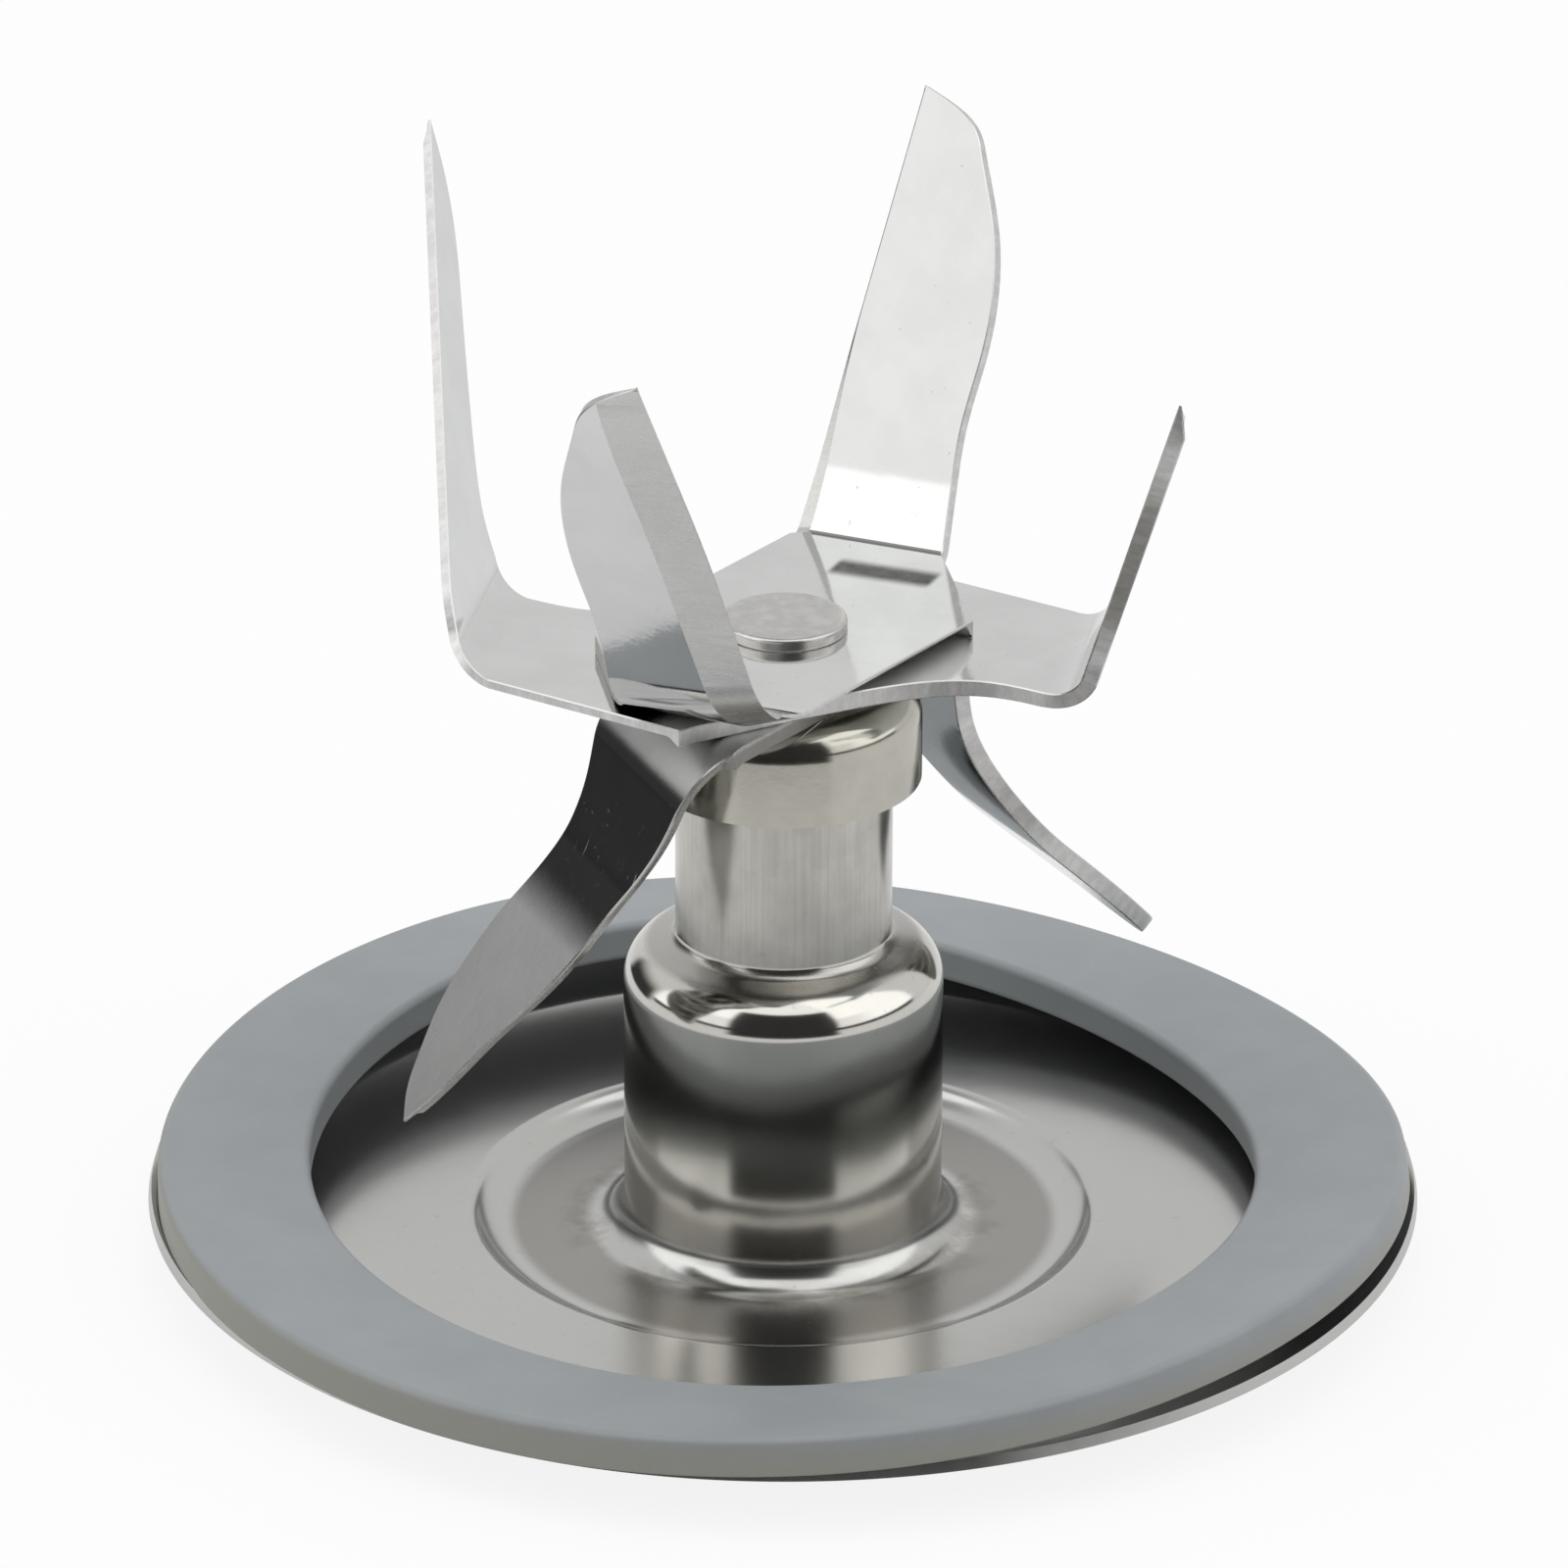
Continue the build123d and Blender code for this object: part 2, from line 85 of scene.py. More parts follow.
# %% Values in a formula
class Value:
    """A socket that can be used in a formula: each operator adds one Math node."""

    def __init__(self, tree, socket):
        self.tree = tree
        self.socket = socket

    def math(self, operation, *terms):
        return self.tree.node("ShaderNodeMath", {"operation": operation}, dict(enumerate(terms)))

    def __add__(self, other):
        return self.math("ADD", self, other)

    def __sub__(self, other):
        return self.math("SUBTRACT", self, other)

    def __rsub__(self, other):
        return self.math("SUBTRACT", other, self)

    def __mul__(self, other):
        return self.math("MULTIPLY", self, other)

    def __pow__(self, other):
        return self.math("POWER", self, other)

    __radd__ = __add__
    __rmul__ = __mul__

    def absolute(self):
        return self.math("ABSOLUTE", self)

    def arctan2(self, other):
        return self.math("ARCTAN2", self, other)

    def hypot(self, other):
        """Distance from the origin at these two coordinates: the root of the sum of their squares."""
        return (self * self + other * other) ** 0.5

    def rise(self, start, end):
        """Zero before start, one after end, and a smooth slope between them."""
        return self.tree.node(
            "ShaderNodeMapRange",
            {"interpolation_type": "SMOOTHSTEP"},
            {"Value": self, "From Min": start, "From Max": end},
        )

    def band(self, start, end, soft):
        """One between start and end, zero outside, with soft borders."""
        return self.rise(start - soft, start + soft) * (1 - self.rise(end - soft, end + soft))


print("shader values ready")


# %% Node trees
class Tree:
    """A node tree under construction."""

    def __init__(self, owner):
        owner.use_nodes = True
        self.owner = owner
        self.nodes = owner.node_tree.nodes
        self.links = owner.node_tree.links

    def node(self, kind, settings=None, inputs=None, output=0):
        made = self.nodes.new(kind)
        for name, value in (settings or {}).items():
            setattr(made, name, value)
        for name, value in (inputs or {}).items():
            self.feed(made.inputs[name], value)
        return Value(self, made.outputs[output])

    def feed(self, socket, value):
        if isinstance(value, Value):
            self.links.new(value.socket, socket)
        else:
            socket.default_value = value

    def coordinates(self, kind):
        return self.node("ShaderNodeTexCoord", output=kind)

    def ray(self, kind):
        return self.node("ShaderNodeLightPath", output=kind)

    def split(self, vector):
        """The three coordinates of a vector."""
        parts = self.node("ShaderNodeSeparateXYZ", {}, {0: vector})
        return [Value(self, socket) for socket in parts.socket.node.outputs]

    def blend(self, factor, low, high):
        """A colour that goes from low to high as factor goes from zero to one."""
        return self.node(
            "ShaderNodeMix", {"data_type": "RGBA"}, {"Factor": factor, 6: low, 7: high}, output=2
        )

    def layered(self, tone, *layers):
        """A colour with others laid over it in turn, each as strongly as its factor says."""
        for factor, over in layers:
            tone = self.blend(factor, tone, over)
        return tone

    def noise(self, place, scale, detail, roughness):
        settings = {"Vector": place, "Scale": scale, "Detail": detail, "Roughness": roughness}
        return self.node("ShaderNodeTexNoise", {}, settings)

    def streaks(self, x, y, detail, roughness):
        """Noise on a plane: stretching x and y by different amounts draws it out into lines."""
        place = self.node("ShaderNodeCombineXYZ", {}, {"X": x, "Y": y})
        return self.noise(place, 1.0, detail, roughness)


class Finish(Tree):
    """A material with one Principled shader, and coordinates in millimetres to paint it by."""

    def __init__(self, name, **constants):
        super().__init__(bpy.data.materials.new(name))
        self.shader = self.nodes["Principled BSDF"]
        for socket, value in constants.items():
            self.shader.inputs[socket].default_value = value
        metres = self.coordinates("Object")
        self.place = self.node("ShaderNodeVectorMath", {"operation": "SCALE"}, {0: metres, "Scale": 1 / MM})
        self.x, self.y, self.z = self.split(self.place)

    def paint(self, socket, value):
        self.feed(self.shader.inputs[socket], value)

    def emboss(self, height, distance):
        """Bump whose heights are in millimetres."""
        settings = {"Height": height, "Distance": distance * MM, "Strength": 1.0}
        self.paint("Normal", self.node("ShaderNodeBump", {}, settings))


print("node trees and finishes ready")

# %% [markdown]
# ## Surfaces from arrays
# Every piece is a grid of points: rows round the axis or along a blade, columns round a closed section. One
# function turns such a grid into a mesh, smooth where it curves and sharp where two faces meet at an angle.

# %% Grid to mesh
SHARP_ANGLE = math.radians(14)
WELD_DISTANCE = 1e-7


def grid_piece(name, points, body, node, finishes, face_finish=None, uv=None, round_rows=False):
    """Joins a grid of points (rows, columns, 3) in millimetres by quads. Columns always close into a loop;
    rows close too when round_rows is true, and otherwise the first and last loops are filled."""
    rows, columns = points.shape[:2]
    number = np.arange(rows * columns).reshape(rows, columns)
    last = rows if round_rows else rows - 1
    here, there = number[np.arange(last)], number[(np.arange(last) + 1) % rows]
    quads = np.stack([here, np.roll(here, -1, 1), np.roll(there, -1, 1), there], -1).reshape(-1, 4)
    faces = quads.tolist()
    if not round_rows:
        faces += [number[0, ::-1].tolist(), number[-1].tolist()]
    mesh = bpy.data.meshes.new(name)
    mesh.from_pydata((points.reshape(-1, 3) * MM).tolist(), [], faces)
    for finish in finishes:
        mesh.materials.append(finish.owner)
    if face_finish is not None:
        index = np.zeros(len(faces), np.int32)
        index[: len(quads)] = np.broadcast_to(face_finish, (last, columns)).ravel()
        mesh.polygons.foreach_set("material_index", index)
    if uv is not None:
        corners = np.empty(len(mesh.loops), np.int32)
        mesh.loops.foreach_get("vertex_index", corners)
        layer = mesh.uv_layers.new(name="blank")
        layer.data.foreach_set("uv", uv.reshape(-1, 2)[corners].ravel().astype(np.float32))
    shape = bmesh.new()
    shape.from_mesh(mesh)
    bmesh.ops.remove_doubles(shape, verts=shape.verts, dist=WELD_DISTANCE)
    bmesh.ops.recalc_face_normals(shape, faces=shape.faces)
    shape.to_mesh(mesh)
    shape.free()
    mesh.shade_smooth()
    mesh.set_sharp_from_angle(angle=SHARP_ANGLE)
    piece = bpy.data.objects.new(name, mesh)
    bpy.context.scene.collection.objects.link(piece)
    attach(piece, body)
    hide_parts(node)
    print(name, len(mesh.polygons), "faces")


print("grids become meshes that are sharp from", round(math.degrees(SHARP_ANGLE)), "degrees")

# %% Profiles
FLAT_RUN = 0.05


def rounded(corners, radii, steps=20):
    """A polyline whose inner corners are replaced by arcs tangent to both runs. Each run also gets a point
    close to its ends, so that shading stays flat along it."""
    corners = np.asarray(corners, float)
    path = [corners[:1]]
    for before, corner, after, radius in zip(corners, corners[1:], corners[2:], radii):
        arriving = (corner - before) / np.linalg.norm(corner - before)
        leaving = (after - corner) / np.linalg.norm(after - corner)
        side = np.sign(arriving[0] * leaving[1] - arriving[1] * leaving[0])
        turn = np.arccos(np.clip(arriving @ leaving, -1, 1))
        run = radius * np.tan(turn / 2)
        middle = corner - arriving * run + side * radius * np.array([-arriving[1], arriving[0]])
        start = np.arctan2(*(corner - arriving * run - middle)[::-1])
        angle = start + side * np.linspace(0, turn, steps)
        arc = middle + radius * np.stack([np.cos(angle), np.sin(angle)], -1)
        path += [arc[:1] - FLAT_RUN * arriving, arc, arc[-1:] + FLAT_RUN * leaving]
    return np.concatenate(path + [corners[-1:]])


def lathe(profile, segments=320):
    """Carries a closed profile of (radius, height) round the axis: x = r cos a, y = r sin a, z = height."""
    angle = np.linspace(0, 2 * np.pi, segments, endpoint=False)
    radius, height = np.asarray(profile, float).T
    level = np.broadcast_to(height, (segments, len(height)))
    return np.stack([np.outer(np.cos(angle), radius), np.outer(np.sin(angle), radius), level], -1)


def shell(skin, thickness):
    """A closed profile from a skin: out along it, then back along its copy moved in by the thickness."""
    along = np.gradient(skin, axis=0)
    along /= np.linalg.norm(along, axis=1, keepdims=True)
    inward = np.stack([along[:, 1], -along[:, 0]], -1)
    return np.concatenate([skin, (skin + thickness * inward)[::-1]])


print("profiles ready")

# %% [markdown]
# ## Drawn steel
# The base plate is pressed from one stainless sheet. The plate is satin with faint clouds, the hub is
# brighter, and the neck is dull with fine upright lines. One finish covers them all: the height and the
# distance from the axis tell where each starts.

# %% Drawn steel finish
NECK_FOOT, SHOULDER_EDGE = 16.5, 15.75
HUB_FOOT, LOW_HUB = (2.5, 4.5), (1.8, 4.7)
FLOOR_HEIGHTS = (1.0, 2.0)
HUB_SKIRT, INNER_FLOOR, GRIME_RING = (9.0, 9.6), (9.6, 13.4), (8.6, 10.8)
PLATE_TONE, HUB_TONE = (0.525, 0.525, 0.51, 1), (0.62, 0.605, 0.56, 1)
CLOUD_TONE, FLOOR_TONE = (0.52, 0.51, 0.485, 1), (0.28, 0.27, 0.255, 1)
LOW_WALL_TONE, GRIME_TONE = (0.28, 0.265, 0.235, 1), (0.22, 0.20, 0.18, 1)
NECK_TONE, SPECK_TONE = (0.36, 0.34, 0.305, 1), (0.30, 0.28, 0.26, 1)
SATIN = 0.17

drawn_steel = Finish("drawn_steel", Metallic=1.0)
around = drawn_steel.y.arctan2(drawn_steel.x)
reach = drawn_steel.x.hypot(drawn_steel.y)
on_neck = drawn_steel.z.rise(NECK_FOOT, NECK_FOOT + 0.4)
on_shoulder = drawn_steel.z.band(SHOULDER_EDGE, NECK_FOOT, 0.15)
on_hub = drawn_steel.z.rise(*HUB_FOOT)
low_hub = drawn_steel.z.band(*LOW_HUB, 0.5) * (1 - reach.rise(*HUB_SKIRT))
by_hub = reach.band(*INNER_FLOOR, 0.4) * (1 - drawn_steel.z.rise(*FLOOR_HEIGHTS))
upright = drawn_steel.streaks(around * 22.0, drawn_steel.z * 0.10, 4.0, 0.7)
cloud = drawn_steel.noise(drawn_steel.place, 0.35, 4.0, 0.6)
speck = drawn_steel.noise(drawn_steel.place, 2.6, 2.0, 0.5).rise(0.66, 0.74)
grime = reach.band(*GRIME_RING, 0.7) * cloud.rise(0.45, 0.62) * (1 - on_neck)
drawn_lines = upright.rise(0.35, 0.75) * 0.30 + cloud.rise(0.45, 0.65) * 0.15
drawn_tone = drawn_steel.layered(
    drawn_steel.blend(on_hub, PLATE_TONE, HUB_TONE),
    (cloud.rise(0.3, 0.7) * 0.3, CLOUD_TONE),
    (by_hub * 0.75 + on_shoulder * 0.5, FLOOR_TONE),
    # The hub's lower wall is darker towards its foot.
    (low_hub * 0.6, LOW_WALL_TONE),
    (grime * 0.45, GRIME_TONE),
    (on_neck * (0.22 + drawn_lines), NECK_TONE),
    (speck * 0.2, SPECK_TONE),
)
drawn_steel.paint("Base Color", drawn_tone)
dull = on_neck * 0.10 + by_hub * 0.06 + on_shoulder * 0.15 - on_hub * 0.08
drawn_steel.paint("Roughness", SATIN + cloud * 0.07 + dull)
drawn_steel.emboss(upright * on_neck * 0.15 + cloud * 0.35, 0.012)
print("drawn steel:", len(drawn_steel.nodes), "nodes")

# %% [markdown]
# ## The base plate
# Its skin is one line from the neck's mouth down over the shoulder and the hub, out along the floor, up
# over a low bead to the shelf and up again to the flange. A lathe carries it round the axis; the sheet's
# thickness is added by moving a copy of the line inwards.

# %% Base plate
NECK_RADIUS, HUB_RADIUS = 5.3, 7.85
BEAD_FOOT, BEAD_TOP, FLANGE_FOOT, RIM_RADIUS = 14.5, 15.4, 25.6, 31.22
NECK_TOP, SHOULDER_TOP, SHOULDER_END, SHELF, RIM_TOP = 27.9, 16.25, 15.5, 1.5, 3.13
PLATE_SHEET, RIM_SHEET = 0.7, 0.55

plate_skin = rounded(
    [
        (NECK_RADIUS, NECK_TOP), (NECK_RADIUS, SHOULDER_TOP), (HUB_RADIUS, SHOULDER_END),
        (HUB_RADIUS, PLATE_SHEET), (BEAD_FOOT, PLATE_SHEET), (BEAD_TOP, SHELF), (FLANGE_FOOT, SHELF),
        (RIM_RADIUS, RIM_TOP),
    ],
    [0.6, 2.15, 1.6, 2.0, 0.9, 2.0],
)
plate_sheet = np.interp(plate_skin[:, 0], [FLANGE_FOOT, RIM_RADIUS], [PLATE_SHEET, RIM_SHEET])
plate_points = lathe(shell(plate_skin, plate_sheet[:, None]))
grid_piece("drawn_base", plate_points, "base", "base_plate", [drawn_steel], round_rows=True)

# %% [markdown]
# ## The sealing ring
# A flat ring of grey silicone. It isn't fixed to anything, so it lies a little off centre, dished and
# lifted on one side. Its section is a rounded rectangle; the roll and the lift of that section change slowly
# round the ring. Its outer wall is painted a little browner than its top: painted light that stands in for
# light passing through the silicone.

# %% Silicone finish
RING_SHIFT = (0.08, -1.0)
RING_WALL = (30.55, 30.85)
RING_TONES = (0.252, 0.272, 0.284, 1), (0.268, 0.288, 0.299, 1)
WALL_LIGHT_TINT, GRAIN_TONE = (0.262, 0.262, 0.230, 1), (0.36, 0.375, 0.38, 1)

silicone = Finish("grey_silicone")
mottle = silicone.noise(silicone.place, 0.30, 3.0, 0.5)
grain = silicone.noise(silicone.place, 7.0, 2.0, 0.6)
from_middle = (silicone.x - RING_SHIFT[0]).hypot(silicone.y - RING_SHIFT[1])
silicone_tone = silicone.layered(
    silicone.blend(mottle.rise(0.3, 0.7), *RING_TONES),
    # Painted light: the outer wall is tinted warmer to stand in for light passing through the silicone.
    (from_middle.rise(*RING_WALL), WALL_LIGHT_TINT),
    (grain.rise(0.62, 0.75) * 0.3, GRAIN_TONE),
)
silicone.paint("Base Color", silicone_tone)
silicone.paint("Roughness", 0.40 + grain * 0.12)
silicone.emboss(grain, 0.010)
print("silicone:", len(silicone.nodes), "nodes")

# %% Sealing ring
RING_MIDDLE, RING_HALF_WIDTH, RING_THICK = 27.15, 3.75, 1.9
UNDER_START, UNDER_END = -3.0, 3.3
ROLL_DEGREES, ROLL_WAVES = -2.37, [(-4.36, 7.43), (-2.27, 0.70)]
LIFT, LIFT_WAVES = 3.23, [(-0.13, 0.53), (-0.12, -0.60), (0.08, -0.21)]
RING_SEGMENTS = 320
PLATE_GAP = 0.02


def waves(angle, level, pairs):
    """A level with waves on it: level + sum of c cos(k a) + s sin(k a)."""
    return level + sum(c * np.cos(k * angle) + s * np.sin(k * angle) for k, (c, s) in enumerate(pairs, 1))


ring_under = [(place, 0.0) for place in np.linspace(UNDER_START, UNDER_END, 30)]
ring_top = rounded(
    [
        (UNDER_END, 0.0), (RING_HALF_WIDTH, 0.0), (RING_HALF_WIDTH, RING_THICK),
        (-RING_HALF_WIDTH, RING_THICK), (-RING_HALF_WIDTH, 0.0), (UNDER_START, 0.0),
    ],
    [0.12, 0.4, 0.4, 0.3],
    steps=9,
)
outward, above = np.concatenate([ring_under, ring_top[1:-1]]).T
ring_angle = np.linspace(0, 2 * np.pi, RING_SEGMENTS, endpoint=False)
roll = np.radians(waves(ring_angle, ROLL_DEGREES, ROLL_WAVES))
lift = waves(ring_angle, LIFT, LIFT_WAVES)
ring_radius = RING_MIDDLE + np.outer(np.cos(roll), outward) + np.outer(np.sin(roll), above)
ring_height = lift[:, None] - np.outer(np.sin(roll), outward) + np.outer(np.cos(roll), above)
ring_x = ring_radius * np.cos(ring_angle)[:, None] + RING_SHIFT[0]
ring_y = ring_radius * np.sin(ring_angle)[:, None] + RING_SHIFT[1]
seat = plate_skin[plate_skin[:, 0] > BEAD_TOP]
plate_level = np.interp(np.hypot(ring_x, ring_y), seat[:, 0], seat[:, 1], right=0.0)
ring_points = np.stack([ring_x, ring_y, np.maximum(ring_height, plate_level + PLATE_GAP)], -1)
grid_piece("soft_ring", ring_points, "base", "sealing_ring", [silicone], round_rows=True)

# %% [markdown]
# ## The cap and the shaft
# The cap is a shallow drawn cup, so it is a lathe of a shell like the plate. The shaft ends in a spread
# head, flat on top with a thin rounded rim. Their finishes differ only in numbers, so one function makes
# both.


# %% Cap and shaft finishes
def mottled_metal(name, scale, contrast, tones, roughness, height=None, detail=4.0):
    """One noise sets all: the colour goes from the first tone to the second across the contrast, the
    roughness is its first value plus the noise times its second, and the height is embossed."""
    metal = Finish(name, Metallic=1.0)
    patches = metal.noise(metal.place, scale, detail, 0.6)
    metal.paint("Base Color", metal.blend(patches.rise(*contrast), *tones))
    metal.paint("Roughness", roughness[0] + patches * roughness[1])
    if height:
        metal.emboss(patches, height)
    print(name, len(metal.nodes), "nodes")
    return metal


CAP_TONES = (0.45, 0.437, 0.385, 1), (0.51, 0.495, 0.435, 1)
TURNED_TONES = (0.50, 0.49, 0.475, 1), (0.60, 0.59, 0.575, 1)
cap_steel = mottled_metal("cap_steel", 0.5, (0.3, 0.7), CAP_TONES, (0.10, 0.10), 0.010)
turned_steel = mottled_metal("turned_steel", 1.4, (0.35, 0.7), TURNED_TONES, (0.22, 0.14), 0.02)

# %% Cap and shaft
CAP_HOLE, CAP_RADIUS, CAP_FOOT, CAP_TOP, CAP_SHEET = 2.3, 6.7, 24.8, 29.7, 0.6
AXIS_GAP, TENON_RADIUS, JOURNAL_RADIUS, HEAD_RADIUS = 0.02, 2.2, 3.0, 3.05
SHAFT_FOOT, TENON_FOOT, STACK_TOP, HEAD_TOP = 12.4, 29.1, 32.4, 33.05

cap_skin = rounded([(CAP_HOLE, CAP_TOP), (CAP_RADIUS, CAP_TOP), (CAP_RADIUS, CAP_FOOT)], [1.6])
cap_points = lathe(shell(cap_skin, CAP_SHEET), 256)
grid_piece("drawn_cap", cap_points, "rotor", "slinger_cap", [cap_steel], round_rows=True)

shaft_line = rounded(
    [
        (AXIS_GAP, SHAFT_FOOT), (JOURNAL_RADIUS, SHAFT_FOOT), (JOURNAL_RADIUS, TENON_FOOT),
        (TENON_RADIUS, TENON_FOOT), (TENON_RADIUS, STACK_TOP), (HEAD_RADIUS, STACK_TOP),
        (HEAD_RADIUS, HEAD_TOP), (AXIS_GAP, HEAD_TOP),
    ],
    [0.2, 0.05, 0.05, 0.05, 0.08, 0.22],
    steps=8,
)
shaft_points = lathe(shaft_line, 192)
grid_piece(
    "riveted_shaft", shaft_points, "rotor", "drive_shaft", [turned_steel], round_rows=True
)

# %% [markdown]
# ## Blade steel
# Each blade shows three finishes: the rolled face of the sheet, nearly a mirror with fine scratches; the
# sheared edge, dull with short lines across it; and the ground bevel, with grinding lines across the
# cutting edge. The blank's own map, distance along it and across it in millimetres, keeps these lines at the
# right slant on every bent arm.
#
# The rolled face also has a painted dark reflection beside one bend of the upper blade: a dark band in its
# colour stands in for the reflection of a dark part of the room. It also has a few faint scratches and
# specks on one arm of the lower blade. Where one blade covers another, the face is made dull: two mirrors
# that face each other would show an endless black gap.


# %% Rolled face
def blank_place(finish):
    """The blank's map as two values: along the blade and across it, in millimetres."""
    return finish.split(finish.coordinates("UV"))[:2]


FACE_TONES = (0.625, 0.63, 0.62, 1), (0.665, 0.67, 0.66, 1)
DARK_REFLECTION_TONE, NICK_TONE = (0.03, 0.03, 0.027, 1), (0.38, 0.37, 0.36, 1)
MARK_ALONG, MARK_ACROSS, MARK_SLANT = (-9.0, -7.3), (-0.8, 4.4), 0.04
UPPER_FACE, MIDDLE_FACE, LOWER_ROOT_FACE = (32.2, 32.3), (31.3, 31.7), (28.7, 30.8)
KNOCK_HEIGHTS, KNOCK_SIDE = (23.2, 24.3), (-4.0, -2.0)
DUST_HEIGHTS = (26.0, 28.0)
WING_REACH = (8.6, 9.2)
FOOT_PLACE, FOOT_REACH = (-3.6, -10.4), (2.0, 3.6)
MIRROR = 0.045

rolled_steel = Finish("rolled_steel", Metallic=1.0)
along, across = blank_place(rolled_steel)
haze = rolled_steel.noise(rolled_steel.place, 0.30, 4.0, 0.6)
scratch = rolled_steel.streaks(along * 0.25, across * 5.0, 3.0, 0.7)
nick = rolled_steel.streaks(along * 2.2, across * 2.2, 2.0, 0.5).rise(0.71, 0.76)
knock = rolled_steel.streaks(along * 0.28, across * 3.0, 1.0, 0.5).rise(0.62, 0.70)
knock = knock * rolled_steel.z.band(*KNOCK_HEIGHTS, 0.7) * (1 - rolled_steel.x.rise(*KNOCK_SIDE))
dust = rolled_steel.noise(rolled_steel.place, 3.4, 3.0, 0.6).rise(0.58, 0.78)
dust = dust * (1 - rolled_steel.z.rise(*DUST_HEIGHTS))
# Painted reflection: a dark band in the colour beside the upper blade's bend stands in for the reflection of
# a dark part of the room.
painted_dark_reflection = (along + across * MARK_SLANT).band(*MARK_ALONG, 0.5) * across.band(*MARK_ACROSS, 0.2)
painted_dark_reflection = painted_dark_reflection * rolled_steel.z.rise(*UPPER_FACE)
painted_dark_reflection = painted_dark_reflection * (0.85 + rolled_steel.noise(rolled_steel.place, 1.6, 3.0, 0.6) * 0.3)
rolled_tone = rolled_steel.layered(
    rolled_steel.blend(haze.rise(0.3, 0.7), *FACE_TONES),
    (painted_dark_reflection * 0.96, DARK_REFLECTION_TONE),
    (nick * 0.3, NICK_TONE),
)
rolled_steel.paint("Base Color", rolled_tone)
under_wing = 1 - rolled_steel.x.hypot(rolled_steel.y).rise(*WING_REACH)
from_foot = (rolled_steel.x - FOOT_PLACE[0]).hypot(rolled_steel.y - FOOT_PLACE[1])
under_foot = 1 - from_foot.rise(*FOOT_REACH)
covered = rolled_steel.z.band(*MIDDLE_FACE, 0.1) * (under_wing * 0.5 + under_foot * 0.5)
covered = covered + rolled_steel.z.band(*LOWER_ROOT_FACE, 0.4) * 0.35
wear = scratch.rise(0.6, 0.85) * 0.08 + nick * 0.15 + knock * 0.36 + dust * 0.20
rolled_steel.paint("Roughness", MIRROR + haze * 0.05 + wear + covered)
rolled_steel.emboss(scratch * 0.2 + haze, 0.008)
print("rolled face:", len(rolled_steel.nodes), "nodes")

# %% Sheared edge
EDGE_TONES = (0.54, 0.53, 0.52, 1), (0.69, 0.685, 0.675, 1)
SHADED_TONE = (0.16, 0.15, 0.13, 1)
CAP_HEIGHTS, CAP_SIDE = (27.6, 30.5), (3.0, 5.0)

sheared_steel = Finish("sheared_steel", Metallic=1.0)
along, across = blank_place(sheared_steel)
tear = sheared_steel.streaks(along * 1.7, across * 0.7, 4.0, 0.7)
edge_tone = sheared_steel.blend(tear.rise(0.35, 0.7), *EDGE_TONES)
# Painted shade: beside the cap the sheared edges are darkened in colour towards SHADED_TONE.
painted_cap_shade = sheared_steel.z.band(*CAP_HEIGHTS, 0.2) * (1 - sheared_steel.x.rise(*CAP_SIDE))
sheared_steel.paint("Base Color", sheared_steel.blend(painted_cap_shade * 0.8, edge_tone, SHADED_TONE))
sheared_steel.paint("Roughness", 0.30 + tear * 0.2)
sheared_steel.emboss(tear, 0.018)
print("sheared edge:", len(sheared_steel.nodes), "nodes")

# %% Ground bevel
BEVEL_TONES = (0.58, 0.575, 0.56, 1), (0.66, 0.655, 0.64, 1)

ground_steel = Finish("ground_steel", Metallic=1.0)
along, across = blank_place(ground_steel)
furrow = ground_steel.streaks(along * 2.6 + across * 0.5, across * 0.25, 4.0, 0.75)
patchy = ground_steel.noise(ground_steel.place, 0.5, 2.0, 0.5).rise(0.35, 0.65)
ground_steel.paint("Base Color", ground_steel.blend(furrow.rise(0.35, 0.75) * patchy, *BEVEL_TONES))
ground_steel.paint("Roughness", 0.20 + furrow * 0.16)
ground_steel.emboss(furrow * (0.3 + patchy * 0.7), 0.012)
print("ground bevel:", len(ground_steel.nodes), "nodes")

# %% [markdown]
# ## Bending a blank
# A blade starts as a flat blank: its outline is two curves, the leading and the trailing edge, as distances
# across the blank at each distance along it. Bending carries every point to a path of straight runs joined
# by arcs. Half a turn about the axis swaps the two arms, so only one half of each outline is drawn.


# %% Bends
def bend(place, degrees, radius):
    """A bend as its place along the blank, the slope after it and the radius of its arc."""
    return place, math.radians(degrees), radius


def bent(distance, bends):
    """Reach, height and slope of the sheet's upper face at a distance along the blank: straight runs
    between the bends, and on each arc the slope goes evenly from the one before it to the one after it."""
    reach, height, slope = distance.copy(), np.zeros_like(distance), np.zeros_like(distance)
    start, corner, slope_before = 0.0, np.zeros(2), 0.0
    for place, slope_after, radius in bends:
        corner = corner + (place - start) * np.array([np.cos(slope_before), np.sin(slope_before)])
        turn = slope_after - slope_before
        side = np.sign(turn)
        run = radius * np.tan(abs(turn) / 2)
        beyond, on_arc = distance > place, np.abs(distance - place) < run
        angle = slope_before + turn * (distance - place + run) / (2 * run)
        centre = corner - run * np.array([np.cos(slope_before), np.sin(slope_before)])
        centre = centre + side * radius * np.array([-np.sin(slope_before), np.cos(slope_before)])
        reach = np.where(beyond, corner[0] + (distance - place) * np.cos(slope_after), reach)
        height = np.where(beyond, corner[1] + (distance - place) * np.sin(slope_after), height)
        reach = np.where(on_arc, centre[0] + side * radius * np.sin(angle), reach)
        height = np.where(on_arc, centre[1] - side * radius * np.cos(angle), height)
        slope = np.where(on_arc, angle, np.where(beyond, slope_after, slope))
        start, slope_before = place, slope_after
    return reach, height, slope


print("bends ready")


